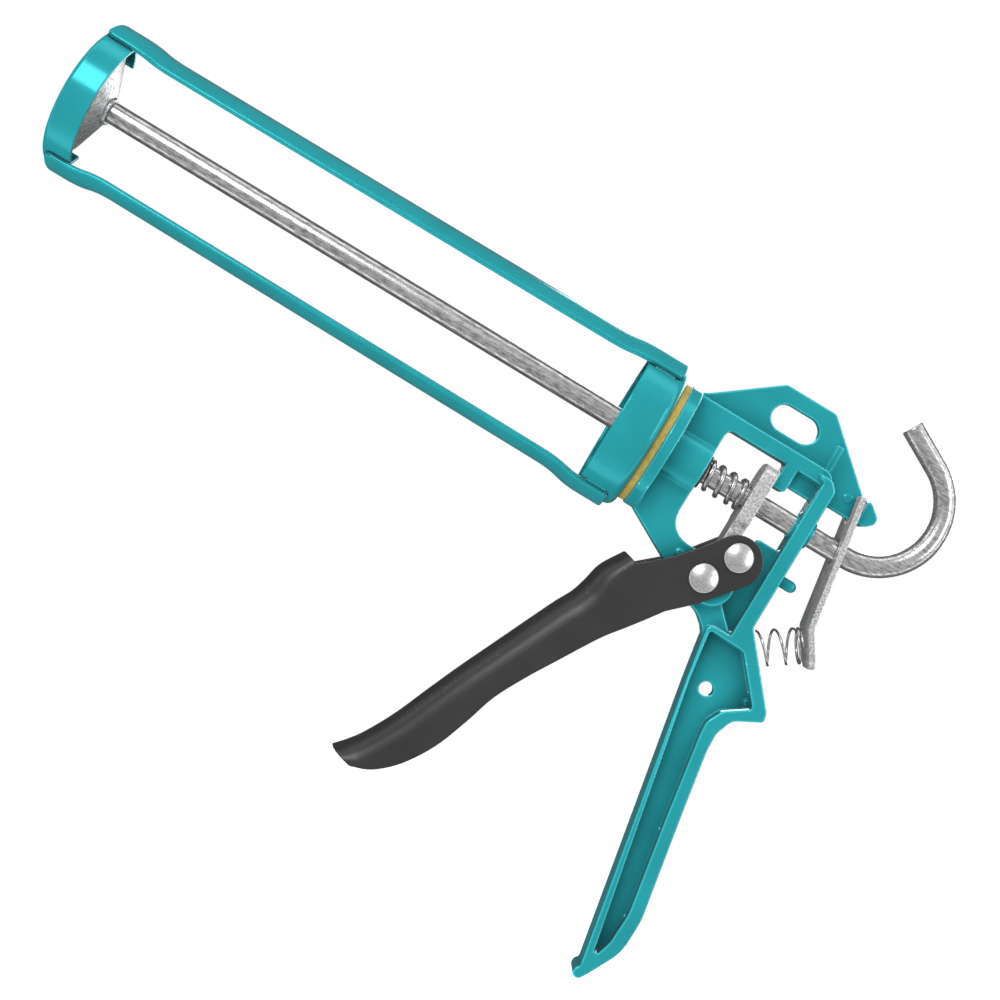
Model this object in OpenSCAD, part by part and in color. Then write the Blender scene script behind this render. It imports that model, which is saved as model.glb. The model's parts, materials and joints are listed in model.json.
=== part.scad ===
// Cradle caulking gun for a standard cartridge. The origin is on the push rod's axis, at the back
// face of the cradle's rear cup. +X points to the hook, -X to the nozzle, +Z up, and the handle
// hangs towards -Z. All sizes are in millimetres.

/* [Cradle] */
// Length of the cradle, from the cup's back face to the cap's front face
cradle_l = 235.5; // [228:0.5:245]
// Outer radius of the rear cup
cup_r = 27.7; // [27.2:0.1:28.2]
// Outer radius of the front cap
cap_r = 26.9; // [26.5:0.1:27.7]
// Wall thickness of the cup and the cap
cup_t = 1.6; // [1.2:0.1:2]
// Depth of the rear cup
cup_depth = 15.4; // [12:0.2:18]
// Depth of the front cap on its closed side
cap_depth = 11.5; // [10.5:0.1:14]
// Width of each rail
rail_w = 24; // [14:0.5:26]
// Thickness of each rail
rail_t = 2; // [1.6:0.1:3]
// How far the rails step inwards between their welded ends
rail_step = 1.4; // [0.5:0.1:2.5]
// How much further in the lower rail steps
lower_rail_drop = 0.6; // [0:0.1:1.2]
// Angle by which the upper rail sits round towards the closed side
upper_rail_lean = 14.5; // [0:0.5:18]
// Angle by which the lower rail sits round towards the closed side
lower_rail_lean = 3.5; // [0:0.5:18]
// Width of the slot for the cartridge's nozzle
nozzle_slot_w = 22; // [18:1:26]

/* [Push rod] */
// Radius of the push rod
rod_r = 4; // [3.5:0.1:4.2]
// Start of the hook, behind the cup
hook_x = 80.5; // [80:0.5:84]
// Radius of the hook's centre line
hook_r = 23.4; // [20:0.1:26]
// Angle that the hook turns through
hook_angle = 151.4; // [120:0.2:170]
// Straight length at the hook's end
hook_tail = 16.8; // [5:0.1:20]
// Radius of the plunger disc
plunger_r = 21.5; // [19:0.1:22.5]

/* [Body] */
// Thickness of the body around the window
frame_t = 11; // [9:0.5:14]
// Thickness of the top plate and of the webs
web_t = 5; // [4:0.5:5.5]
// Thickness of the handle's rim and of the rear post
rim_t = 15; // [12:0.5:16]
// Radius of the hole in the handle
handle_hole_r = 2.6; // [2:0.1:3]

/* [Trigger] */
// Width of the trigger over its cheeks
trigger_w = 20; // [19.8:0.1:22]
// Thickness of the trigger's sheet
trigger_t = 1.5; // [1.2:0.1:1.6]
// Radius of the rivets' shanks
rivet_r = 2.8; // [2.2:0.1:2.8]
// Radius of the rivets' heads
rivet_head_r = 5.25; // [4:0.05:5.5]

/* [Springs and plates] */
// Wire diameter of the main spring
main_wire = 1.9; // [1.4:0.1:2]
// Outer radius of the main spring
main_spring_r = 6.1; // [5.9:0.1:6.5]
// Wire diameter of the release spring
release_wire = 1.1; // [0.8:0.1:1.4]
// Thickness of the drive plate
plate_t = 5.2; // [3:0.1:5.4]
// Thickness of the release lever
lever_t = 2.2; // [1.6:0.1:2.6]

/* [Hidden] */

$fn = 96;
teal = "#2a9da5";
dark = "#333333";
zinc = "#c9ccce";
ochre = "#b8993f";

// Clearances: a sliding fit, a turning fit and a loose hole
slide_gap = 0.08;
turn_gap = 0.06;
loose_gap = 0.4;

// Stack along the axis between the cradle and the body
washer_x = [0.15, 2.75];
flange_x = [2.85, 7];
flange_r = 24;
spigot_r = 9;
spigot_end = -5.6;
groove_x = [-4.5, -3.3];
groove_r = 7.9;
boss_r = 10.3;

// Window and rear post of the body
window_x = [21.2, 59.3];
window_z = [-25, 17.2];
post_x = [59.3, 64.7];

// Trigger pivot, and the drive pin that pushes the drive plate
pivot = [40.3, -32.5];
pin = [47.2, -20.1];
cheek_y = trigger_w / 2;
head_c = [47.2, -21.6];
head_r = 9.4;
blade_lean = 23;
blade_top = [11.84, -38.5];
blade_straight = 99.4;
blade_curve_r = 98;
blade_curve = 16;

// Drive plate, with its back against the drive pin
plate_x = 44.3 - plate_t;
plate_z = [-22.5, 14];

// Rear arm of the top plate, with a thick head that the release lever bears on
arm_z = 12;
head_x = 76.5;
head_t = 14;

// Release lever: a fork that straddles the rear arm, a leg that leans back, and a thumb tab
lever_top = [74.1, 18.4];
lever_lean = 9.3;
lever_w = 20;
lever_tine = 2.4;
lever_leg = 47;
lever_bend = 24;
lever_tab = 14.8;

// Release spring, from the slope of the neck to the lever's tab
release_seat = [70.2, -44];
release_lean = 35;
release_l = 16.6;
release_r = 6.2;
release_turns = 3;

// Front end of the push rod
rod_front = -224.1;
stud_r = 3;
stud_l = 8.4;
joint_lap = 0.8;
hook_step = 0.05;

// Rails: half of the angle that their arc section spans, and the places of their steps
rail_half = asin(rail_w / 2 / cup_r);
rail_rear = -2.2;
rail_front = 0.7 - cradle_l;
step_l = 8;
rear_step = -18;
front_step = 14 - cradle_l;

// Arc that rounds the corner b, between a and c, with the radius r
function corner(a, b, c, r, n = 6) =
  let (
    p = [b[0], b[1]],
    u = ([a[0], a[1]] - p) / norm([a[0], a[1]] - p),
    v = ([c[0], c[1]] - p) / norm([c[0], c[1]] - p),
    half = acos(u * v) / 2,
    turn = 180 - 2 * half,
    centre = p + (u + v) / norm(u + v) * r / sin(half),
    start = p + u * r / tan(half) - centre,
    stop = p + v * r / tan(half) - centre
  )
  [for (i = [0:n]) centre + (start * sin(turn * (1 - i / n)) + stop * sin(turn * i / n)) / sin(turn)];

// Outline through the points [x, z, radius], where a radius rounds that corner
function outline(pts) =
  let (n = len(pts))
  [for (i = [0:n - 1])
    each (len(pts[i]) > 2 ? corner(pts[(i + n - 1) % n], pts[i], pts[(i + 1) % n], pts[i][2]) : [pts[i]])];

// Slab that lies across the Y axis, from an outline in X and Z
module slab(t) {
  rotate([90, 0, 0]) linear_extrude(t, center = true) children();
}

// Round bar along the X axis
module bar_x(x0, x1, r) {
  translate([x0, 0, 0]) rotate([0, 90, 0]) cylinder(h = x1 - x0, r = r);
}

// Ring along the X axis
module ring_x(x0, x1, r_in, r_out) {
  difference() {
    bar_x(x0, x1, r_out);
    bar_x(x0 - 1, x1 + 1, r_in);
  }
}

// Round bar along the Y axis, centred, at a place in X and Z
module bar_y(at, w, r) {
  translate([at[0], 0, at[1]]) rotate([90, 0, 0]) cylinder(h = w, r = r, center = true);
}

// Solid of revolution about the X axis, whose profile is drawn as [radius, x]
module turned_x(angle = 360) {
  rotate([0, 90, 0]) rotate_extrude(angle = angle) children();
}

// Plate that is drawn in Y and Z and runs along +X
module across_x(l) {
  rotate([90, 0, 90]) linear_extrude(l) children();
}

// Helix of round wire along +Z, as one closed tube
module coil(r, wire, length, turns, sides = 10, steps = 28) {
  n = turns * steps;
  pitch = (length - wire) / turns;
  rise = atan(pitch / (2 * PI * r));
  pts = [for (i = [0:n]) for (j = [0:sides - 1])
    let (
      a = 360 * i / steps,
      b = 360 * j / sides,
      out = r + wire / 2 * cos(b),
      side = wire / 2 * sin(b)
    )
    [out * cos(a) + side * sin(rise) * sin(a), out * sin(a) - side * sin(rise) * cos(a),
     wire / 2 + pitch * i / steps + side * cos(rise)]];
  walls = [for (i = [0:n - 1]) for (j = [0:sides - 1])
    let (k = (j + 1) % sides)
    [i * sides + j, i * sides + k, (i + 1) * sides + k, (i + 1) * sides + j]];
  ends = [[for (j = [sides - 1:-1:0]) j], [for (j = [0:sides - 1]) n * sides + j]];
  polyhedron(points = pts, faces = concat(walls, ends), convexity = 10);
}

// ---------------------------------------------------------------- body

module top_plate() {
  slab(web_t) polygon(outline([
    [6.5, -5], [6.5, 23.4], [9.5, 25.2], [31.2, 41.7, 2], [51.5, 41.7, 2], [74.8, 21.3], [78, 20.6, 2],
    [82.3, 17, 2], [82.3, 14.6, 2], [79.4, arm_z, 2], [60, arm_z], [60, -5]
  ]));
  slab(head_t) polygon(outline([
    [head_x, arm_z], [79.4, arm_z, 2], [82.3, 14.6, 2], [82.3, 17, 2], [78, 20.6, 2], [head_x, 20.9]
  ]));
  slab(web_t + 1.6) translate([57.6, 20]) square([2.2, 12.4]);
  bar_y([70.2, 18.2], web_t + 0.8, 1.5);
}

module frame_slab() {
  slab(frame_t) polygon(outline([
    [6.5, 22.6], [60, 22.6, 4], [post_x[1], 16], [post_x[1], -46.4], [52, -46.4], [51.2, -50],
    [49.2, -47.2, 4], [45.4, -44, 8], [33, -40, 8], [24.7, -33.6, 3], [6.5, -23.8]
  ]));
}

module post() {
  slab(rim_t) polygon(outline([
    [post_x[0], -46.4], [post_x[0], 18], [57, 20.2], [62, 20.2, 2.5], [post_x[1], 17, 2.5],
    [post_x[1], -46.4]
  ]));
  bar_x(post_x[0] - 1, post_x[1] + 1.5, 5.2);
  translate([post_x[1], 0, -19]) rotate([0, 90, 0]) cylinder(h = 4.7, r = 2.15);
  translate([post_x[1] + 4.7, 0, -19]) sphere(r = 2.15);
}

module window_cut() {
  slab(40) polygon(outline([
    [window_x[0], window_z[1], 2.5], [window_x[1], window_z[1], 1.5], [window_x[1], -44.2, 0.8],
    [57.6, -43.6, 1], [50.5, -36.6, 1], [50.5, window_z[0]], [window_x[0], window_z[0], 8.5]
  ]));
}

module window_webs() {
  slab(web_t) polygon([[49, 10.5], [60, 10.5], [60, 18], [49, 18]]);
  slab(web_t) polygon([
    [50.6, -10.5], [60, -10.5], [60, -44.8], [51, -44.8], [49.5, -40], [49.5, -25.5], [50.6, -25.5]
  ]);
  slab(frame_t) polygon(outline([[44.9, 18], [44.9, 8, 1], [49.5, 8, 1], [49.5, 18]]));
}

module handle_slab() {
  slab(rim_t) polygon(outline([
    [post_x[0], -45], [post_x[0], -36], [post_x[1], -38.4, 1.5], [84.2, -61.5], [85.1, -64.9, 1.2],
    [75.2, -70.3, 5], [72.8, -77, 6], [73.2, -84], [76.8, -105], [84.5, -147, 30], [84.3, -160, 20],
    [78, -172.4],
    [75.8, -176, 2], [72.8, -175.4, 1.6], [73, -172.6, 1], [74.2, -171.2, 1], [68, -138.8],
    [62.8, -111.8], [53.8, -65.5], [51.2, -50.5, 3], [50.4, -45, 2]
  ]));
}

module handle_pocket() {
  polygon(outline([
    [52.1, -46.8, 1], [66, -47.2, 2], [79.4, -63, 1.5], [70.4, -69.2, 4], [67.6, -75, 4], [68, -80],
    [73.2, -112], [79.4, -147, 20], [79, -159, 9], [76, -168.4, 1], [75.2, -162], [68.4, -130],
    [54.8, -65]
  ]));
}

module body_casting() color(teal) {
  difference() {
    union() {
      difference() {
        union() {
          top_plate();
          frame_slab();
        }
        window_cut();
      }
      window_webs();
      post();
      difference() {
        handle_slab();
        for (side = [-1, 1])
          translate([0, side * (web_t / 2 + 10), 0]) slab(20) handle_pocket();
      }
      bar_y(pivot, trigger_w - 2 * trigger_t - 0.6, 7.4);
      bar_y([44.4, -32.6], trigger_w - 2 * trigger_t - 0.6, 7.6);
      bar_y([77, -62.2], web_t + 1.6, 1.2);
      bar_y([29, -29.2], frame_t + 0.8, 1.4);
      bar_x(flange_x[0], flange_x[1], flange_r);
      bar_x(flange_x[1] - 1, window_x[0], boss_r);
      bar_x(spigot_end, flange_x[0] + 1, spigot_r);
    }
    bar_x(spigot_end - 1, post_x[1] + 10, rod_r + slide_gap);
    ring_x(groove_x[0], groove_x[1], groove_r, spigot_r + 1);
    bar_y(pivot, 60, rivet_r + turn_gap);
    bar_y([62.3, -65.4], 60, handle_hole_r);
    for (x = [36.5, 44.9]) bar_y([x, 31], 40, 4.9);
    slab(40) translate([36.5, 31 - 4.9]) square([8.4, 9.8]);
  }
}

module bearing_washer() color(ochre)
  ring_x(washer_x[0], washer_x[1], spigot_r + 0.3, 23.4);

module retaining_washer() color(zinc)
  ring_x(-3.2, -cup_t - 0.1, spigot_r + 0.1, 14.5);

module retaining_ring() color(zinc)
  difference() {
    ring_x(groove_x[0] + 0.05, groove_x[1] - 0.02, groove_r + 0.05, 10.8);
    translate([-10, -1.5, 0]) cube([10, 3, 20]);
  }

module spring_seat_washer() color(dark)
  ring_x(window_x[0] + 0.02, window_x[0] + 1.1, rod_r + loose_gap, 6.4);

module main_spring() color(zinc)
  translate([window_x[0] + 1.2, 0, 0]) rotate([0, 90, 0])
    coil(main_spring_r - main_wire / 2, main_wire, plate_x - window_x[0] - 1.3, 3.75);

module drive_plate() color(zinc)
  difference() {
    translate([plate_x, 0, 0]) rotate([0, 90, 0]) linear_extrude(plate_t) polygon(outline([
      [-plate_z[1], -10, 6.5], [8, -10], [10, -8], [-plate_z[0], -8],
      [-plate_z[0], 8], [10, 8], [8, 10], [-plate_z[1], 10, 6.5]
    ]));
    bar_x(plate_x - 1, plate_x + plate_t + 1, rod_r + loose_gap);
  }

// ---------------------------------------------------------------- cradle

module rear_cup() color(teal)
  turned_x() polygon(outline([
    [spigot_r + turn_gap, 0], [cup_r, 0, 3.2], [cup_r, -cup_depth], [cup_r - cup_t, -cup_depth],
    [cup_r - cup_t, -cup_t, 1.6], [spigot_r + turn_gap, -cup_t]
  ]));

// Rail below the axis, whose middle stretch steps inwards
module rail(rear, front, step) {
  path = [
    [cup_r, rear], [cup_r, rear_step], [cup_r - step, rear_step - step_l],
    [cap_r - step, front_step + step_l], [cap_r, front_step], [cap_r, front]
  ];
  back = [for (i = [len(path) - 1:-1:0]) path[i] + [rail_t, 0]];
  color(teal) rotate([-rail_half, 0, 0]) rotate([0, 90, 0])
    rotate_extrude(angle = 2 * rail_half) polygon(concat(path, back));
}

module upper_rail() rotate([180 + upper_rail_lean, 0, 0]) rail(rail_rear, rail_front, rail_step);

module lower_rail() rotate([-lower_rail_lean, 0, 0])
  rail(rail_rear - 1.4, rail_front + 1.6, rail_step + lower_rail_drop);

// Cap: a slotted front face, a deep wall on the near side and short tabs beside the loading side
module front_cap() color(teal)
  difference() {
    translate([-cradle_l, 0, 0]) turned_x() polygon(outline([
      [0, 0], [cap_r, 0, 1.6], [cap_r, cap_depth], [cap_r - cup_t, cap_depth],
      [cap_r - cup_t, cup_t], [0, cup_t]
    ]));
    bar_x(-cradle_l - 1, -cradle_l + cup_t + 1, nozzle_slot_w / 2);
    translate([-cradle_l - 1, 0, 0]) across_x(cap_depth + 5) polygon(outline([
      [0, -nozzle_slot_w / 2], [12, -nozzle_slot_w / 2, 3], [17, -19, 3], [40, -19], [40, 19],
      [17, 19, 3], [12, nozzle_slot_w / 2, 3], [0, nozzle_slot_w / 2]
    ]));
    translate([-cradle_l + 4.6, 2, -35]) cube([cap_depth, 40, 70]);
  }

// Weld beads along the ends of the rails
module rail_welds() color(teal)
  for (side = [0, 180], edge = [-1, 1])
    rotate([side + (side > 0 ? upper_rail_lean : -lower_rail_lean) + edge * (rail_half + 1.2), 0, 0]) {
      translate([-13, 0, cup_r]) rotate([0, 90, 0]) cylinder(h = 8, r = 0.9);
      if ((edge > 0) == (side == 0)) translate([-cradle_l + 3, 0, cap_r])
        rotate([0, 90, 0]) cylinder(h = 6, r = 0.9);
    }

// ---------------------------------------------------------------- push rod

module push_rod() color(zinc) {
  bar_x(rod_front, hook_x + joint_lap, rod_r);
  bar_x(rod_front - stud_l, rod_front + 1, stud_r);
  translate([hook_x, 0, hook_r]) {
    rotate([90, 0, 0]) rotate([0, 0, -90]) rotate_extrude(angle = hook_angle)
      translate([hook_r, 0]) circle(r = rod_r - hook_step);
    rotate([0, -hook_angle, 0]) translate([0, 0, -hook_r]) bar_x(-joint_lap, hook_tail, rod_r);
  }
}

module rod_shoulder_washer() color(zinc)
  ring_x(rod_front - 1.2, rod_front - 0.02, stud_r + 0.1, 5.3);

module plunger_disc() color(zinc)
  translate([rod_front - 1.25, 0, 0]) turned_x() polygon([
    [stud_r + slide_gap, 0], [5.6, 0], [plunger_r, -7], [plunger_r, -8.2], [plunger_r - 1, -8.2],
    [5.2, -1.5], [stud_r + slide_gap, -1.5]
  ]);

module plunger_nut_washer() color(zinc)
  ring_x(rod_front - 3.9, rod_front - 2.8, stud_r + 0.1, 5.2);

module plunger_nut() color(zinc)
  translate([rod_front - 7.7, 0, 0]) difference() {
    rotate([0, 90, 0]) cylinder(h = 3.75, r = 5.77, $fn = 6);
    bar_x(-1, 5, stud_r);
  }

// ---------------------------------------------------------------- trigger

// U section of the trigger, open towards -x, with its front at x = 0
module u_section(depth = 30) {
  difference() {
    union() {
      translate([-cheek_y, 0]) circle(r = cheek_y);
      translate([-depth, -cheek_y]) square([depth - cheek_y, trigger_w]);
    }
    translate([-cheek_y, 0]) circle(r = cheek_y - trigger_t);
    translate([-depth - 1, -cheek_y + trigger_t])
      square([depth - cheek_y + 1, trigger_w - 2 * trigger_t]);
  }
}

// Finger blade: the section runs straight, then curves forward to the tip
module blade() {
  translate([blade_top[0], 0, blade_top[1]]) rotate([0, 180 + blade_lean, 0]) {
    linear_extrude(blade_straight) u_section();
    translate([blade_curve_r, 0, blade_straight]) mirror([1, 0, 0]) rotate([90, 0, 0])
      rotate_extrude(angle = blade_curve) translate([blade_curve_r, 0]) mirror([1, 0]) u_section();
  }
}

// Side outline of the blade, with room in front of it
module blade_outline() {
  polygon(outline([
    [-2, -30], [20, -37], [44, -41], [30.8, -55, 40], [20, -69.5, 80], [0, -103.5, 60],
    [-10, -129.5, 30], [-20, -147, 15], [-33.5, -154.6, 2], [-52, -150], [-40, -120]
  ]));
}

// Flat cheeks around the two rivets
module cheek_outline() {
  translate(head_c) circle(r = head_r);
  polygon(outline([
    [39.6, -16], [33, -25.5], [24, -35, 8], [18.4, -40.1], [21.9, -42.5], [20.5, -46], [15.5, -58],
    [28.2, -58.5], [30.8, -55, 20], [43, -41.5, 10], [51.2, -33.3, 6], [55.8, -25.4], [47, -21]
  ]));
}

module trigger_lever() color(dark)
  difference() {
    union() {
      intersection() {
        blade();
        slab(40) blade_outline();
      }
      for (side = [-1, 1])
        translate([0, side * (cheek_y - trigger_t / 2), 0]) slab(trigger_t) cheek_outline();
    }
    bar_y(pivot, 60, rivet_r);
    bar_y(pin, 60, rivet_r);
  }

// Rivet with a domed head on each side
module rivet(at) {
  dome = 2;
  sphere_r = (rivet_head_r * rivet_head_r + dome * dome) / (2 * dome);
  bar_y(at, trigger_w, rivet_r);
  for (side = [-1, 1])
    translate([at[0], side * cheek_y, at[1]]) intersection() {
      translate([0, side * (dome - sphere_r), 0]) sphere(r = sphere_r);
      translate([-10, side > 0 ? 0 : -10, -10]) cube([20, 10, 20]);
    }
}

module pivot_rivet() color(zinc) rivet(pivot);

module drive_pin() color(zinc) rivet(pin);

// ---------------------------------------------------------------- release lever

module release_lever() color(zinc) {
  half = lever_t / 2;
  mid = half * tan(lever_bend / 2);
  across = half * [cos(lever_bend), sin(lever_bend)];
  end = [lever_tab * sin(lever_bend), -lever_leg - lever_tab * cos(lever_bend)];
  translate([lever_top[0], 0, lever_top[1]]) rotate([0, -lever_lean, 0]) difference() {
    intersection() {
      slab(lever_w) polygon(outline([
        [-half, lever_tine], [half, lever_tine], [half, mid - lever_leg, 4], end + across,
        end - across, [-half, -mid - lever_leg, 4 + lever_t]
      ]));
      translate([-5, 0, 0]) across_x(40) polygon(outline([
        [-lever_w, 10], [lever_w, 10], [lever_w, 3 - lever_leg], [lever_w / 2 + 0.5, 3 - lever_leg],
        [lever_w / 2, end[1] - half, 8.5], [-lever_w / 2, end[1] - half, 8.5],
        [-lever_w / 2 - 0.5, 3 - lever_leg], [-lever_w, 3 - lever_leg]
      ]));
    }
    translate([-10, -web_t / 2 - 0.5, -7.6]) cube([20, web_t + 1, 20]);
    translate([0, 0, -18.7]) rotate([0, 90, 0]) cylinder(h = 20, r = 5, center = true);
  }
}

module release_spring() color(zinc)
  translate([release_seat[0], 0, release_seat[1]]) rotate([0, 90 - release_lean, 0])
    coil(release_r, release_wire, release_l, release_turns);

body_casting();
bearing_washer();
retaining_washer();
retaining_ring();
spring_seat_washer();
main_spring();
drive_plate();
rear_cup();
upper_rail();
lower_rail();
front_cap();
rail_welds();
push_rod();
plunger_disc();
rod_shoulder_washer();
plunger_nut_washer();
plunger_nut();
trigger_lever();
pivot_rivet();
drive_pin();
release_lever();
release_spring();
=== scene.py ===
"""Looks of the cradle caulking gun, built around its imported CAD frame.

Everything is in metres, in the CAD frame: +X runs along the push rod to its hook, +Z is up and the
cradle's closed side faces -Y. Each piece stands for one CAD node and rides on that node's body.
"""
import json
import math

import bmesh
import bpy
from mathutils import Matrix, Vector


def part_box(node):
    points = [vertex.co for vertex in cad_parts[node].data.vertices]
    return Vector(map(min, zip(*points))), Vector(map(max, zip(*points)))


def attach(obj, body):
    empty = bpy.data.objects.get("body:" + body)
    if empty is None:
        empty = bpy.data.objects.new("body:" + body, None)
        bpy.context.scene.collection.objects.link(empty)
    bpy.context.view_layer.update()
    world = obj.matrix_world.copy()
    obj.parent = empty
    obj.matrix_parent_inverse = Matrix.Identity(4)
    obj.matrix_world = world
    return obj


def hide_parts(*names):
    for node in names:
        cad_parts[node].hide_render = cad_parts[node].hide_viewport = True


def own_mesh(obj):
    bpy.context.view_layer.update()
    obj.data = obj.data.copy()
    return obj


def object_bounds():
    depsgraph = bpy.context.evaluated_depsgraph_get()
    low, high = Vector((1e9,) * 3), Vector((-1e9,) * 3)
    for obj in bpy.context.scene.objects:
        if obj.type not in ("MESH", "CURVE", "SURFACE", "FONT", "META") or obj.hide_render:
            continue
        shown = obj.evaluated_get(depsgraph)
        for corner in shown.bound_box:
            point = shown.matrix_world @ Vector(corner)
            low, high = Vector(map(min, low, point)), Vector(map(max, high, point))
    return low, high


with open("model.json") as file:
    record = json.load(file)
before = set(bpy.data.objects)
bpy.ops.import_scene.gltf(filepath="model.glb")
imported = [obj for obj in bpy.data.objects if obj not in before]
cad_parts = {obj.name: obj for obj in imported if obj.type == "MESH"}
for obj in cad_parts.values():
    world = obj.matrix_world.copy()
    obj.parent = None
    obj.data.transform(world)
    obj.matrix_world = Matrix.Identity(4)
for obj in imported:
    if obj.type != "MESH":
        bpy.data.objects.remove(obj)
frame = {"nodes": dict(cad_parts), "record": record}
cad_box = [list(corner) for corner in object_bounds()]

MM = 0.001
BODY_OF = {node: body for body, nodes in frame["record"]["behaviour"]["bodies"].items() for node in nodes}
SLOT_OF = {part["node"]: part["material_slot"] for part in frame["record"]["subparts"]}


# ---------------------------------------------------------------- outlines and curves

def rounded(points, steps=6):
    """Closed outline through (u, v) points. A third number rounds that corner with its radius."""
    made = []
    for i, point in enumerate(points):
        here = Vector(point[:2])
        if len(point) == 2:
            made.append(here)
            continue
        before = (Vector(points[i - 1][:2]) - here).normalized()
        after = (Vector(points[(i + 1) % len(points)][:2]) - here).normalized()
        half = before.angle(after) / 2
        reach = point[2] / math.tan(half)
        centre = here + (before + after).normalized() * point[2] / math.sin(half)
        start, stop = here + before * reach - centre, here + after * reach - centre
        turn = math.pi - 2 * half
        for k in range(steps + 1):
            share = k / steps
            spoke = start * math.sin(turn * (1 - share)) + stop * math.sin(turn * share)
            made.append(centre + spoke / math.sin(turn))
    return made


def smooth_path(points, steps=6):
    """Catmull-Rom curve through the points."""
    points = [Vector(point) for point in points]
    padded = [2 * points[0] - points[1], *points, 2 * points[-1] - points[-2]]
    made = []
    for a, b, c, d in zip(padded, padded[1:], padded[2:], padded[3:]):
        for k in range(steps):
            t = k / steps
            made.append(0.5 * (2 * b + (c - a) * t + (2 * a - 5 * b + 4 * c - d) * t**2
                               + (3 * b - a - 3 * c + d) * t**3))
    made.append(points[-1])
    return made


# ---------------------------------------------------------------- solids

def mesh_of(verts, faces):
    """Closed mesh with its normals outwards, from points in millimetres."""
    mesh = bpy.data.meshes.new("made")
    mesh.from_pydata([Vector(v) * MM for v in verts], [], faces)
    edit = bmesh.new()
    edit.from_mesh(mesh)
    bmesh.ops.remove_doubles(edit, verts=edit.verts, dist=1e-6)
    bmesh.ops.recalc_face_normals(edit, faces=edit.faces)
    edit.to_mesh(mesh)
    edit.free()
    return mesh


def lofted(rings, closed=False):
    """Solid through rings that have the same number of points, in millimetres."""
    n = len(rings[0])
    verts = [point for ring in rings for point in ring]
    spans = len(rings) if closed else len(rings) - 1
    faces = []
    for i in range(spans):
        a, b = i * n, (i + 1) % len(rings) * n
        faces += [(a + k, a + (k + 1) % n, b + (k + 1) % n, b + k) for k in range(n)]
    if not closed:
        faces += [tuple(range(n)), tuple(range((len(rings) - 1) * n, len(rings) * n))]
    return mesh_of(verts, faces)


def turned(profile, axis="X", at=(0, 0, 0), steps=96):
    """Solid of revolution from a closed profile of (along, radius) points."""
    rings = []
    for i in range(steps):
        a = 2 * math.pi * i / steps
        ring = []
        for along, radius in profile:
            across, up = radius * math.cos(a), radius * math.sin(a)
            point = (along, across, up) if axis == "X" else (across, along, up)
            ring.append(Vector(point) + Vector(at))
        rings.append(ring)
    return lofted(rings, closed=True)


def tube(path, radius, sides, start_round, end_round):
    """Round bar along a path, whose two ends are rounded over that length."""
    rings, side = [], None
    for i, point in enumerate(path):
        ahead, behind = path[min(i + 1, len(path) - 1)], path[max(i - 1, 0)]
        along = (ahead - behind).normalized()
        if side is None:
            side = along.cross(Vector((0, 1, 0)))
            side = side if side.length > 0.2 else along.cross(Vector((1, 0, 0)))
        side = (side - along * side.dot(along)).normalized()
        other = along.cross(side)
        rings.append((point, along, side, other))
    made = []

    def ring(point, side, other, size):
        return [point + side * size * math.cos(2 * math.pi * k / sides)
                + other * size * math.sin(2 * math.pi * k / sides) for k in range(sides)]

    for end, depth in ((0, start_round), (-1, end_round)):
        point, along, side, other = rings[end]
        outwards = -along if end == 0 else along
        cap = []
        for k in range(4):
            a = math.pi / 2 * k / 4
            cap.append(ring(point + outwards * depth * (math.cos(a) - 1), side, other,
                            radius - depth * (1 - math.sin(a))))
        full = ring(point - outwards * depth, side, other, radius)
        if end == 0:
            made = [*cap, full] + [ring(p, s, o, radius) for p, _, s, o in rings[1:-1]]
        else:
            made += [full] + cap[::-1]
    return lofted(made)


def slab(points, low, high):
    """Plate across the Y axis from an outline in X and Z."""
    return lofted([[(u, y, v) for u, v in points] for y in (low, high)])


def joined(*meshes):
    """One mesh that holds all of these closed shells."""
    edit = bmesh.new()
    for mesh in meshes:
        edit.from_mesh(mesh)
    made = bpy.data.meshes.new("joined")
    edit.to_mesh(made)
    edit.free()
    return made


def merged(mesh, voxel, rounds):
    """One solid with soft edges and small fillets, from overlapping closed shells."""
    carrier = bpy.data.objects.new("carrier", mesh)
    bpy.context.scene.collection.objects.link(carrier)
    remesh = carrier.modifiers.new("remesh", "REMESH")
    remesh.mode = "VOXEL"
    remesh.voxel_size = voxel * MM
    soften = carrier.modifiers.new("soften", "SMOOTH")
    soften.factor = 0.5
    soften.iterations = rounds
    depsgraph = bpy.context.evaluated_depsgraph_get()
    made = bpy.data.meshes.new_from_object(carrier.evaluated_get(depsgraph))
    bpy.data.objects.remove(carrier)
    return made


def cad_mesh(node):
    return frame["nodes"][node].data.copy()


def place(mesh, node, material):
    """The piece that stands for a CAD node, in that node's slot and on its body. Painted pieces keep out of
    the metal's reflections, which stay grey."""
    piece = bpy.data.objects.new(node + "_look", mesh)
    bpy.context.scene.collection.objects.link(piece)
    mesh.materials.clear()
    mesh.materials.append(material)
    mesh.polygons.foreach_set("use_smooth", [True] * len(mesh.polygons))
    piece.visible_glossy = material not in (CAST_TEAL, SHEET_TEAL)
    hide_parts(node)
    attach(piece, BODY_OF[node])
    return piece


# ---------------------------------------------------------------- materials

def new_material(name, metallic, coat=0.0, coat_roughness=0.1, ior=1.5):
    material = bpy.data.materials.new(name)
    material.use_nodes = True
    shader = material.node_tree.nodes["Principled BSDF"]
    shader.inputs["Metallic"].default_value = metallic
    shader.inputs["Coat Weight"].default_value = coat
    shader.inputs["Coat Roughness"].default_value = coat_roughness
    shader.inputs["IOR"].default_value = ior
    return material


def node(material, kind, links=None, **values):
    """New node. Links go from an output socket to the input of that name or number."""
    made = material.node_tree.nodes.new(kind)
    for key, value in values.items():
        if key in made.inputs:
            made.inputs[key].default_value = value
        else:
            setattr(made, key, value)
    for key, output in (links or {}).items():
        material.node_tree.links.new(output, made.inputs[key])
    return made


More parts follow.
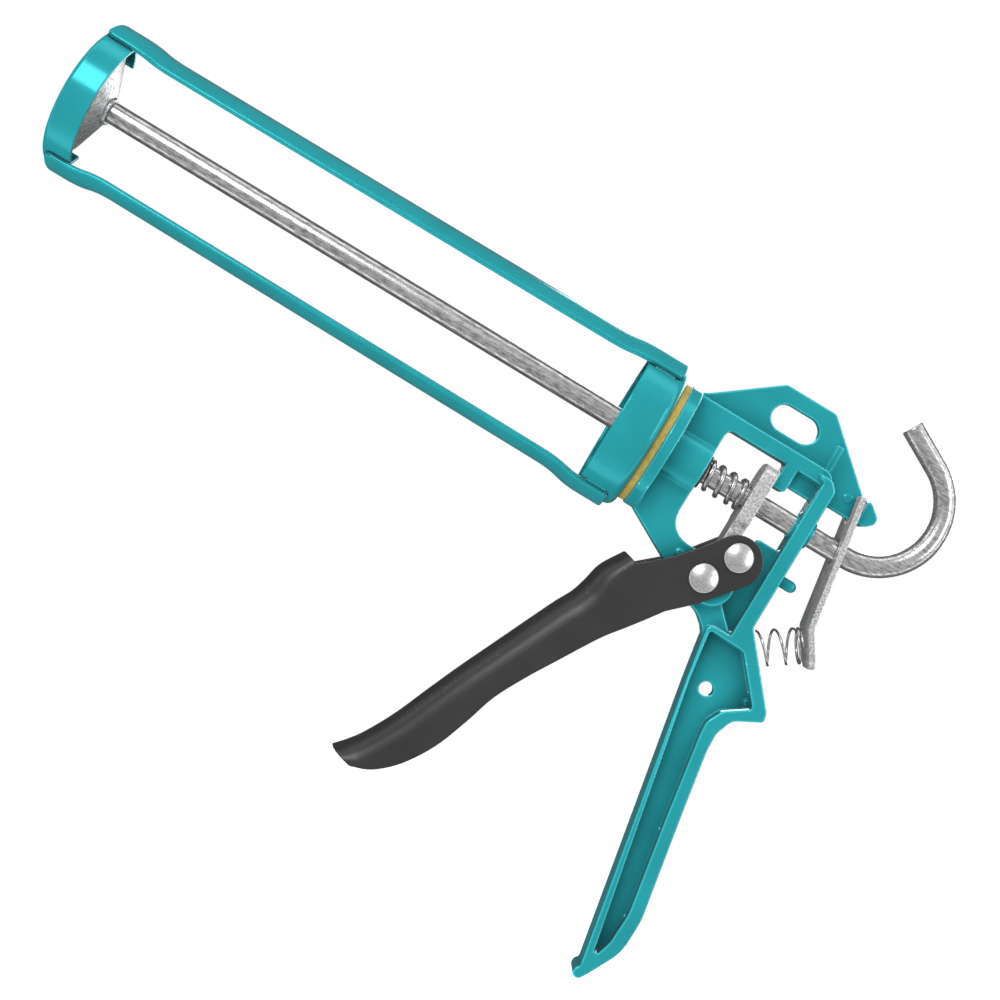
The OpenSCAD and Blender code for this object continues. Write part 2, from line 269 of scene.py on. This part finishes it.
def grain(material, per_metre, detail=3.0, stretch=(1, 1, 1)):
    """Noise of so many cells a metre, stretched along the axes."""
    place_at = node(material, "ShaderNodeTexCoord")
    mapping = node(material, "ShaderNodeMapping", {"Vector": place_at.outputs["Object"]})
    mapping.inputs["Scale"].default_value = stretch
    noise = node(material, "ShaderNodeTexNoise", {"Vector": mapping.outputs["Vector"]})
    noise.inputs["Scale"].default_value = per_metre
    noise.inputs["Detail"].default_value = detail
    return noise.outputs["Fac"]


def colours(material, factor, stops):
    """Colour ramp over a factor, from (place, colour) stops."""
    ramp = node(material, "ShaderNodeValToRGB", {"Fac": factor})
    elements = ramp.color_ramp.elements
    while len(elements) < len(stops):
        elements.new(0.5)
    for element, (at, colour) in zip(elements, stops):
        element.position = at
        element.color = (*colour, 1)
    return ramp.outputs["Color"]


def spread(material, factor, low, high, from_low=0.3, from_high=0.7):
    made = node(material, "ShaderNodeMapRange", {"Value": factor})
    made.inputs["From Min"].default_value = from_low
    made.inputs["From Max"].default_value = from_high
    made.inputs["To Min"].default_value = low
    made.inputs["To Max"].default_value = high
    return made.outputs["Result"]


def bumps(material, layers):
    """Stacks (height, depth in metres, strength) layers and feeds the shader's normal."""
    normal = None
    for height, depth, strength in layers:
        bump = node(material, "ShaderNodeBump", {"Height": height})
        bump.inputs["Distance"].default_value = depth
        bump.inputs["Strength"].default_value = strength
        if normal:
            material.node_tree.links.new(normal, bump.inputs["Normal"])
        normal = bump.outputs["Normal"]
    feed(material, "Normal", normal)


def feed(material, socket, output):
    shader = material.node_tree.nodes["Principled BSDF"]
    material.node_tree.links.new(output, shader.inputs[socket])


def scaled(colour, share):
    return tuple(channel * share for channel in colour)


def mixed(material, factor, low, high):
    mix = node(material, "ShaderNodeMix", data_type="RGBA")
    mix.inputs["Factor"].default_value = 0
    material.node_tree.links.new(factor, mix.inputs["Factor"])
    for socket, value in ((mix.inputs[6], low), (mix.inputs[7], high)):
        if isinstance(value, tuple):
            socket.default_value = (*value, 1)
        else:
            material.node_tree.links.new(value, socket)
    return mix.outputs[2]


TEAL = (0.016, 0.265, 0.295)
# Deep teal used for the painted shade in recesses.
SHADED_TEAL = (0.002, 0.090, 0.115)
BLACK = (0.0145, 0.0145, 0.015)


def teal_paint(name, edges):
    """Glossy paint with a slight orange peel, with painted shade darkening its recesses and, when edges is
    set, a painted highlight along its sharp edges.
    """
    material = new_material(name, 0.35, coat=0.15, coat_roughness=0.08, ior=1.35)
    shader = material.node_tree.nodes["Principled BSDF"]
    shader.inputs["Specular Tint"].default_value = (0.25, 0.85, 0.90, 1)
    tone = colours(material, grain(material, 45, 2),
                   [(0.35, scaled(TEAL, 0.94)), (0.65, scaled(TEAL, 1.06))])
    # Painted shade: the colour darkens towards a deep teal in recesses, found by ambient occlusion.
    recess_shade = node(material, "ShaderNodeAmbientOcclusion", samples=6)
    recess_shade.inputs["Distance"].default_value = 9 * MM
    tone = mixed(material, spread(material, recess_shade.outputs["AO"], 0, 1, 0.27, 0.88), SHADED_TEAL, tone)
    if edges:
        # Painted highlight: sharp edges turn a paler teal, found by pointiness.
        geometry = node(material, "ShaderNodeNewGeometry")
        pale_edges = spread(material, geometry.outputs["Pointiness"], 0, 0.9, 0.512, 0.57)
        tone = mixed(material, pale_edges, tone, (0.06, 0.60, 0.66))
    feed(material, "Base Color", tone)
    feed(material, "Roughness", spread(material, grain(material, 160), 0.15, 0.22))
    bumps(material, [(grain(material, 420, 2), 0.00010, 0.10), (grain(material, 2600, 2), 0.00003, 0.04)])
    return material


def zinc(name, light, dark, rough, speckle, stretch=(1, 1, 1), metallic=1.0):
    """Plated steel: a fine bright and dull speckle over slow blotches."""
    material = new_material(name, metallic)
    fine = grain(material, speckle, 4, stretch)
    blotch = grain(material, 110, 3)
    tone = colours(material, fine, [(0.36, dark), (0.62, light)])
    tone = mixed(material, spread(material, blotch, 0, 0.35), tone, scaled(light, 0.8))
    feed(material, "Base Color", tone)
    feed(material, "Roughness", spread(material, fine, rough + 0.14, rough))
    bumps(material, [(fine, 0.00006, 0.5), (blotch, 0.0002, 0.12)])
    return material


def black_paint():
    """Satin powder coat."""
    material = new_material("black_paint", 0.0, coat=0.1, coat_roughness=0.3)
    tone = colours(material, grain(material, 70, 3),
                   [(0.35, scaled(BLACK, 0.9)), (0.65, scaled(BLACK, 1.15))])
    # Paler grey at sharp edges, found by pointiness.
    geometry = node(material, "ShaderNodeNewGeometry")
    pale_edges = spread(material, geometry.outputs["Pointiness"], 0, 0.3, 0.54, 0.64)
    feed(material, "Base Color", mixed(material, pale_edges, tone, (0.12, 0.12, 0.12)))
    feed(material, "Roughness", spread(material, grain(material, 900, 2), 0.34, 0.42))
    bumps(material, [(grain(material, 1500, 2), 0.00005, 0.2)])
    return material


def ochre():
    """Yellow chromated washer."""
    material = new_material("washer_ochre", 0.35)
    turned_marks = grain(material, 500, 3, (6, 1, 1))
    feed(material, "Base Color", colours(material, turned_marks,
                                         [(0.3, (0.27, 0.20, 0.045)), (0.7, (0.46, 0.36, 0.09))]))
    feed(material, "Roughness", spread(material, turned_marks, 0.42, 0.6))
    bumps(material, [(turned_marks, 0.00006, 0.3)])
    return material


CAST_TEAL = teal_paint("teal_cast", edges=True)
SHEET_TEAL = teal_paint("teal_sheet", edges=False)
ZINC = zinc("zinc_plate", (0.80, 0.80, 0.80), (0.26, 0.26, 0.27), 0.32, 1300, metallic=0.75)
ROD = zinc("rod_steel", (0.82, 0.82, 0.82), (0.30, 0.30, 0.31), 0.18, 1300, (0.25, 1, 1), 0.95)
WIRE = zinc("spring_steel", (0.72, 0.72, 0.73), (0.36, 0.36, 0.37), 0.18, 1400)
RIVET = zinc("rivet_steel", (0.90, 0.90, 0.90), (0.58, 0.58, 0.59), 0.26, 1300)
DARK = zinc("dark_steel", (0.13, 0.135, 0.14), (0.05, 0.05, 0.05), 0.4, 1500)
BLACK_PAINT = black_paint()
OCHRE = ochre()
FINISH = {"teal_paint": SHEET_TEAL, "zinc_plate": ZINC, "spring_steel": WIRE, "rod_steel": ROD,
          "rivet_steel": RIVET, "dark_steel": DARK, "black_paint": BLACK_PAINT, "washer_ochre": OCHRE}


def box_mm(node_name):
    low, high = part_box(node_name)
    return low / MM, high / MM


# ---------------------------------------------------------------- body

def make_casting():
    """The casting, remade from its CAD shape with a turned disc laid over its flange so that it stays round.
    The disc is solid, so it also closes the rod's bore inside the flange."""
    _, washer_high = box_mm("bearing_washer")
    front, back, radius = washer_high.x + 0.1, washer_high.x + 4.25, 24
    flange = turned([(front, 0), (front, radius), (back, radius), (back, 0)], steps=160)
    mesh = merged(joined(cad_mesh("body_casting"), flange), voxel=0.36, rounds=3)
    place(mesh, "body_casting", CAST_TEAL)


def make_ring(node_name, inner, chamfer, material=None):
    """Washer with broken edges, of the CAD node's outer size."""
    low, high = box_mm(node_name)
    outer = high.z
    profile = rounded([(low.x, inner, chamfer), (low.x, outer, chamfer),
                       (high.x, outer, chamfer), (high.x, inner, chamfer)], 3)
    place(turned(profile), node_name, material or FINISH[SLOT_OF[node_name]])


def helix(start, direction, radius, pitch_at, turns, steps=36):
    """Points of a coil along a direction, whose pitch may change from turn to turn."""
    along = Vector(direction).normalized()
    side = along.cross(Vector((0, 1, 0))).normalized()
    other = along.cross(side)
    points, reach = [], 0
    for i in range(int(turns * steps) + 1):
        a = 2 * math.pi * i / steps
        spoke = side * radius * math.cos(a) + other * radius * math.sin(a)
        points.append(Vector(start) + along * reach + spoke)
        reach += pitch_at(i / steps) / steps
    return points


def make_main_spring():
    """Strong compression spring between the guide and the drive plate, with closed ends."""
    low, high = box_mm("main_spring")
    wire = 2.0
    radius = high.z - wire / 2
    length = high.x - low.x
    turns, start, end = 3.8, 0.3, 0.8
    open_pitch = (length - wire * (1 + (start + end) * 0.95)) / (turns - start - end)

    def pitch_at(turn):
        return wire * 0.95 if turn < start or turn > turns - end else open_pitch

    path = helix((low.x + wire / 2, 0, 0), (1, 0, 0), radius, pitch_at, turns)
    piece = place(tube(path, wire / 2, 14, 0.4, 0.4), "main_spring", WIRE)
    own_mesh(piece)


def make_release_spring():
    """Light spring between the neck and the release lever, with close turns at the lever."""
    _, high = box_mm("release_spring")
    lean = math.radians(35)
    direction = Vector((math.cos(lean), 0, math.sin(lean)))
    wire, radius, length, turns = 1.0, high.y - 0.5, 16.4, 3.25
    seat = Vector((70.2, 0, -44.0))
    close_pitch, close_turns = 1.3, 1.15
    open_pitch = (length - wire - close_pitch * close_turns) / (turns - close_turns)

    def pitch_at(turn):
        return open_pitch if turn < turns - close_turns else close_pitch

    path = helix(seat + direction * wire / 2, direction, radius, pitch_at, turns)
    piece = place(tube(path, wire / 2, 12, 0.3, 0.3), "release_spring", WIRE)
    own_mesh(piece)


# ---------------------------------------------------------------- cradle

def make_rear_cup():
    """Drawn cup with a rounded back corner and a rolled lip."""
    low, high = box_mm("rear_cup")
    outer, thick, bore = high.z, 1.6, 9.06
    profile = rounded([
        (high.x, bore, 0.3), (high.x, outer, 3.2), (low.x, outer, 0.7), (low.x, outer - thick, 0.7),
        (high.x - thick, outer - thick, 1.6), (high.x - thick, bore, 0.3)], 6)
    place(turned(profile, steps=160), "rear_cup", SHEET_TEAL)


def make_front_cap():
    """Slotted cap, with the edges of its cut-outs rounded as paint leaves them."""
    place(merged(cad_mesh("front_cap"), voxel=0.24, rounds=5), "front_cap", SHEET_TEAL)


CUP_R, CAP_R, RAIL_HALF_WIDTH = 27.7, 26.9, 12
RAIL_HALF = math.asin(RAIL_HALF_WIDTH / CUP_R)
RAIL_LEAN = {"upper_rail": math.radians(14.5), "lower_rail": math.radians(3.5)}


def make_rail(node_name, up, step):
    """Strip of arc section that steps inwards between its two welded ends."""
    low, high = box_mm(node_name)
    thick, edge, corner = 2.0, 0.75, 2.6
    cup_low, cup_high = box_mm("rear_cup")
    _, cap_high = box_mm("front_cap")
    rear_seat, front_seat = cup_high.z, cap_high.z
    bends = [(high.x, rear_seat), (cup_low.x - 2.6, rear_seat), (cup_low.x - 10.6, rear_seat - step),
             (cap_high.x + 10.5, front_seat - step), (cap_high.x + 2.5, front_seat), (low.x, front_seat)]
    path = bends[:1]
    for a, b, c in zip(bends, bends[1:], bends[2:]):
        a, b, c = Vector(a), Vector(b), Vector(c)
        for k in range(7):
            t = k / 6
            start, stop = b.lerp(a, min(0.45, 5 / (a - b).length)), b.lerp(c, min(0.45, 5 / (c - b).length))
            path.append(tuple(start * (1 - t)**2 + b * 2 * t * (1 - t) + stop * t**2))
    path.append(bends[-1])
    ends = [0, 0.1, 0.25, 0.5, 0.8, 1.3, 2, 3]
    stations = [(high.x - d, rear_seat) for d in ends] + path[1:-1]
    stations += [(low.x + d, front_seat) for d in ends[::-1]]
    rings = []
    for x, inner in stations:
        d = min(high.x - x, x - low.x)
        inset = edge - math.sqrt(edge**2 - (edge - d)**2) if d < edge else 0
        narrow = corner - math.sqrt(corner**2 - (corner - d)**2) if d < corner else 0
        reach = RAIL_HALF * (inner + thick / 2) - narrow
        rim = edge - inset * 0.9
        section = rounded([(-reach, inset, rim), (reach, inset, rim),
                           (reach, thick - inset, rim), (-reach, thick - inset, rim)], 4)
        dense = []
        for a, b in zip(section, section[1:] + section[:1]):
            parts = 12 if (b - a).length > 5 else 1
            dense += [a.lerp(b, k / parts) for k in range(parts)]
        ring = []
        for across, rise in dense:
            angle = RAIL_LEAN[node_name] + across / (inner + thick / 2)
            radius = inner + rise
            ring.append((x, -radius * math.sin(angle), up * radius * math.cos(angle)))
        rings.append(ring)
    place(lofted(rings), node_name, SHEET_TEAL)


def make_welds():
    """Weld beads along the rail ends, flat and painted over."""
    shells = []
    sunk, bead = 0.4, 0.85
    cup_low, _ = box_mm("rear_cup")
    cap_low, _ = box_mm("front_cap")
    on_cup = (CUP_R - sunk, cup_low.x + 2.6, -5)
    on_cap = (CAP_R - sunk, cap_low.x + 3.2, cap_low.x + 8.8)
    for node_name, up in (("upper_rail", 1), ("lower_rail", -1)):
        for side, (radius, x_from, x_to) in ((1, on_cup), (-1, on_cup), (-1, on_cap)):
            angle = RAIL_LEAN[node_name] + side * (RAIL_HALF + math.radians(0.6))
            at = (-radius * math.sin(angle), up * radius * math.cos(angle))
            path = [Vector((x_from + (x_to - x_from) * k / 12, *at)) for k in range(13)]
            shells.append(tube(path, bead, 16, 0.5, 0.5))
    place(joined(*shells), "rail_welds", SHEET_TEAL)


# ---------------------------------------------------------------- push rod

def make_push_rod():
    """Bent rod with a necked front stud that is peened over, and a sawn tail with a broken edge."""
    low, _ = box_mm("push_rod")
    _, shoulder_high = box_mm("rod_shoulder_washer")
    radius, bend, turn, tail = 4.0, 23.4, math.radians(151.4), 16.8
    hook_x = 80.5
    path = [Vector((shoulder_high.x + (hook_x - shoulder_high.x) * k / 40, 0, 0)) for k in range(41)]
    for k in range(1, 49):
        a = turn * k / 48
        path.append(Vector((hook_x + bend * math.sin(a), 0, bend * (1 - math.cos(a)))))
    along = Vector((math.cos(turn), 0, math.sin(turn)))
    path += [path[-1] + along * tail * k / 6 for k in range(1, 7)]
    rod = tube(path, radius, 40, 0.5, 0.7)
    stud = turned([(shoulder_high.x + 1, 0), (shoulder_high.x + 1, 3), (low.x + 1.1, 3), (low.x + 0.35, 3.2),
                   (low.x, 2.6), (low.x + 0.25, 1.2), (low.x + 0.3, 0)], steps=48)
    place(joined(rod, stud), "push_rod", ROD)


def make_plunger():
    """Pressed disc: a cone from the seat to a flanged rim, with a stiffening ring near its seat."""
    _, high = box_mm("plunger_disc")
    rim = high.z
    back = high.x
    front = [(back - 8.2, rim, 0.3), (back - 8.2, rim - 1, 0.3), (back - 2.6, 8.2, 1), (back - 2.1, 7.2, 0.5),
             (back - 1.5, 5.2, 0.4), (back - 1.5, 3.08, 0.2)]
    rear = [(back, 3.08, 0.2), (back, 5.4, 0.5), (back - 0.7, 7.4, 0.6), (back - 1.2, 8.6, 0.8),
            (back - 7, rim, 0.9)]
    place(turned(rounded(rear + front, 4), steps=128), "plunger_disc", ZINC)


def make_nut():
    """Hexagon nut with chamfered corners."""
    low, high = box_mm("plunger_nut")
    across = 5.0
    rings = []
    for x, share in ((low.x, 0.9), (low.x + 0.45, 1), (high.x - 0.45, 1), (high.x, 0.9)):
        ring = []
        for k in range(48):
            a = 2 * math.pi * k / 48
            flat = across / math.cos((a + math.pi / 6) % (math.pi / 3) - math.pi / 6)
            reach = min(flat, high.z * share) if share < 1 else flat
            ring.append((x, reach * math.cos(a), reach * math.sin(a)))
        rings.append(ring)
    place(lofted(rings), "plunger_nut", ZINC)


# ---------------------------------------------------------------- trigger

def trigger_blade():
    """Channel whose front swells under the finger, necks and then curves forward to its tip."""
    front = smooth_path([(12.4, -38.5), (7.2, -47.2), (5.4, -54.6), (3.6, -60.4), (0.3, -66.8), (-5.3, -79),
                         (-11, -91.6), (-16.8, -104.4), (-22.2, -117.2), (-27.4, -129.8), (-33, -140.6),
                         (-37, -146.4), (-41, -151)], 5)
    back = smooth_path([(36.6, -46.8), (30.4, -55.6), (26.4, -61), (21.6, -67.3), (18.2, -72.5),
                        (11.3, -84.2), (5.3, -94.4), (-0.8, -106.5), (-4.6, -118.6), (-9.4, -131.5),
                        (-16.4, -142.8), (-24.2, -150.1), (-31.6, -153.1)], 5)
    half, thick = 9.25, 1.5
    rings = []
    for i, (near, far) in enumerate(zip(front, back)):
        depth = (near - far).length
        ahead = (near - far) / depth
        nose = min(half * 1.05, depth * 0.75, 5.5 + 0.4 * i)
        middle = [(0, -half), ((depth - nose) * 0.5, -half)]
        middle += [(depth - nose + (nose - thick / 2) * math.sin(a), -half * math.cos(a))
                   for a in (math.pi * k / 20 for k in range(21))]
        middle += [((depth - nose) * 0.5, half), (0, half)]
        middle = [Vector(p) for p in middle]
        outer, inner = [], []
        for k, point in enumerate(middle):
            along = (middle[min(k + 1, len(middle) - 1)] - middle[max(k - 1, 0)]).normalized()
            normal = Vector((along.y, -along.x))
            outer.append(point + normal * thick / 2)
            inner.append(point - normal * thick / 2)
        ring = []
        for out, across in outer + inner[::-1]:
            spot = far + ahead * out
            ring.append((spot.x, across, spot.y))
        rings.append(ring)
    return lofted(rings)


def trigger_cheeks():
    """Two flat cheeks that carry the rivets, each one plate with a round head."""
    head, radius = Vector((47.2, -21.6)), 9.4
    arc = [tuple(head + radius * Vector((math.cos(a), math.sin(a))))
           for a in (math.radians(142 - 187 * k / 24) for k in range(25))]
    outline = rounded([*arc, (43, -41.5, 14), (34.8, -49.4), (30.4, -55.6), (26.4, -61), (14, -60),
                       (17.8, -49.5), (17.2, -40.5, 1), (27.2, -31.6, 14), (33.2, -24.4, 16)])
    return [slab(outline, *span) for span in ((-10, -8.5), (8.5, 10))]


def make_trigger():
    mesh = merged(joined(trigger_blade(), *trigger_cheeks()), voxel=0.3, rounds=5)
    place(mesh, "trigger_lever", BLACK_PAINT)


def make_rivet(node_name):
    """Rivet with a low dome on each side, which stands on a thin straight rim."""
    low, high = box_mm(node_name)
    centre = (low + high) / 2
    head, shank, face, rim = (high.x - low.x) / 2, 2.8, 10.02, 0.5
    rise = high.y - face - rim
    ball = (head**2 + rise**2) / (2 * rise)
    crown = [(face, shank), (face, head - 0.15), (face + 0.15, head), (face + rim, head)]
    for k in range(1, 13):
        radius = head * (1 - k / 12)
        crown.append((high.y - ball + math.sqrt(ball**2 - radius**2), radius))
    profile = crown + [(-along, radius) for along, radius in crown[::-1]]
    place(turned(profile, "Y", (centre.x, 0, centre.z), 64), node_name, RIVET)


def paint_retaining_ring():
    """The snap ring keeps its CAD mesh, as round wire inside the cup."""
    ring = frame["nodes"]["retaining_ring"]
    ring.data.materials.clear()
    ring.data.materials.append(WIRE)


# ---------------------------------------------------------------- plates

def make_drive_plate():
    place(merged(cad_mesh("drive_plate"), voxel=0.22, rounds=7), "drive_plate", ZINC)


def make_release_lever():
    place(merged(cad_mesh("release_lever"), voxel=0.2, rounds=4), "release_lever", ZINC)


make_casting()
make_ring("bearing_washer", 9.3, 0.25)
make_ring("retaining_washer", 9.1, 0.2)
make_ring("spring_seat_washer", 4.4, 0.15)
make_main_spring()
make_release_spring()
make_rear_cup()
make_front_cap()
make_rail("upper_rail", 1, 1.4)
make_rail("lower_rail", -1, 2.0)
make_welds()
make_push_rod()
make_plunger()
make_ring("rod_shoulder_washer", 3.1, 0.15)
make_ring("plunger_nut_washer", 3.1, 0.15)
make_nut()
make_trigger()
make_rivet("pivot_rivet")
make_rivet("drive_pin")
make_drive_plate()
make_release_lever()
paint_retaining_ring()


# ---------------------------------------------------------------- stage, light and camera

AIM = Vector((-34.8, 0, -46.1)) * MM
CAMERA_BACK = 650 * MM
ROLL = math.radians(31.26)
RIGHT = Vector((math.cos(ROLL), 0, math.sin(ROLL)))
UP = Vector((-math.sin(ROLL), 0, math.cos(ROLL)))
TOWARDS = Vector((0, -1, 0))
FRAME_PX, FOCAL_PX, SENSOR_MM = 1000, 1830, 36
RING = ((-1, 0.34), (-0.35, 0.30), (-0.18, 0.95), (0.02, 0.95), (0.13, 0.12), (1, 0.08))
SKY = ((-1, 0.85), (-0.2, 0.85), (0.15, 0.95), (1, 1))


def make_camera():
    data = bpy.data.cameras.new("camera")
    data.sensor_width = SENSOR_MM
    data.lens = FOCAL_PX / FRAME_PX * SENSOR_MM
    data.clip_start, data.clip_end = 0.01, 50
    camera = bpy.data.objects.new("camera", data)
    bpy.context.scene.collection.objects.link(camera)
    turn = Matrix((RIGHT, UP, TOWARDS)).transposed()
    camera.matrix_world = Matrix.Translation(AIM + TOWARDS * CAMERA_BACK) @ turn.to_4x4()
    bpy.context.scene.camera = camera


def make_light(name, at, aim, width, height, power, glints=True):
    """Soft box at a place, turned towards another, with its height in the plane of Z."""
    data = bpy.data.lights.new(name, "AREA")
    data.shape = "RECTANGLE"
    data.size, data.size_y = width, height
    data.energy = power
    lamp = bpy.data.objects.new(name, data)
    bpy.context.scene.collection.objects.link(lamp)
    lamp.location = at
    lamp.visible_glossy = glints
    lamp.rotation_mode = "QUATERNION"
    lamp.rotation_quaternion = (Vector(aim) - Vector(at)).to_track_quat("-Z", "Y")


def make_floor():
    """Pale floor below the gun that fades out far from it."""
    low = Vector(cad_box[0])
    mesh = bpy.data.meshes.new("floor")
    edit = bmesh.new()
    bmesh.ops.create_circle(edit, cap_ends=True, radius=3, segments=96)
    edit.to_mesh(mesh)
    edit.free()
    floor = bpy.data.objects.new("floor", mesh)
    bpy.context.scene.collection.objects.link(floor)
    floor.location = (AIM.x, 0, low.z - 0.14)
    floor.visible_glossy = floor.visible_diffuse = floor.visible_shadow = False
    material = new_material("floor", 0.0)
    shader = material.node_tree.nodes["Principled BSDF"]
    shader.inputs["Roughness"].default_value = 0.9
    shader.inputs["Emission Color"].default_value = (1, 1, 1, 1)
    shader.inputs["Emission Strength"].default_value = 0.45
    feed(material, "Base Color", colours(material, grain(material, 6, 2),
                                         [(0.3, (0.90, 0.90, 0.90)), (0.7, (0.93, 0.93, 0.93))]))
    middle = node(material, "ShaderNodeTexCoord")
    reach = node(material, "ShaderNodeVectorMath", {0: middle.outputs["Object"]}, operation="LENGTH")
    feed(material, "Alpha", spread(material, reach.outputs["Value"], 1, 0, 0.5, 2.2))
    mesh.materials.append(material)


def make_world():
    """White surroundings for the eye. Light and gloss get a bright ring round the camera's axis, as in
    a light tent."""
    world = bpy.data.worlds.new("studio")
    world.use_nodes = True
    tree = world.node_tree
    tree.nodes.clear()
    out = tree.nodes.new("ShaderNodeOutputWorld")
    seen = tree.nodes.new("ShaderNodeBackground")
    lit = tree.nodes.new("ShaderNodeBackground")
    mix = tree.nodes.new("ShaderNodeMixShader")
    path = tree.nodes.new("ShaderNodeLightPath")
    where = tree.nodes.new("ShaderNodeTexCoord")
    parts = tree.nodes.new("ShaderNodeSeparateXYZ")
    tree.links.new(where.outputs["Generated"], parts.inputs["Vector"])
    tones = tree.nodes.new("ShaderNodeVectorMath")
    tones.operation = "MULTIPLY"
    for slot, (axis, stops) in enumerate((("Y", RING), ("Z", SKY))):
        shift = tree.nodes.new("ShaderNodeMapRange")
        shift.inputs["From Min"].default_value = -1
        tree.links.new(parts.outputs[axis], shift.inputs["Value"])
        ramp = tree.nodes.new("ShaderNodeValToRGB")
        tree.links.new(shift.outputs["Result"], ramp.inputs["Fac"])
        elements = ramp.color_ramp.elements
        while len(elements) < len(stops):
            elements.new(0.5)
        for element, (value, grey) in zip(elements, stops):
            element.position = (value + 1) / 2
            element.color = (grey, grey, grey, 1)
        tree.links.new(ramp.outputs["Color"], tones.inputs[slot])
    tree.links.new(tones.outputs["Vector"], lit.inputs["Color"])
    lit.inputs["Strength"].default_value = 1.6
    seen.inputs["Color"].default_value = (1, 1, 1, 1)
    tree.links.new(path.outputs["Is Camera Ray"], mix.inputs["Fac"])
    tree.links.new(lit.outputs["Background"], mix.inputs[1])
    tree.links.new(seen.outputs["Background"], mix.inputs[2])
    tree.links.new(mix.outputs["Shader"], out.inputs["Surface"])
    bpy.context.scene.world = world


make_camera()
make_floor()
make_world()
make_light("key", (-0.50, -0.76, 0.36), (-0.23, -0.03, 0.01), 0.42, 0.46, 3.8)
make_light("side", (0.75, -0.65, 0.35), AIM, 0.35, 0.9, 3)
make_light("top", (0.1, -0.6, 1.2), AIM, 0.9, 0.4, 18, glints=False)
make_light("low", (-0.2, -0.5, -1.1), (-0.16, 0, -0.02), 0.9, 0.4, 18, glints=False)
make_light("back", (0.3, 0.8, 0.3), AIM, 0.8, 0.5, 4)
bpy.context.scene.view_settings.view_transform = "Standard"
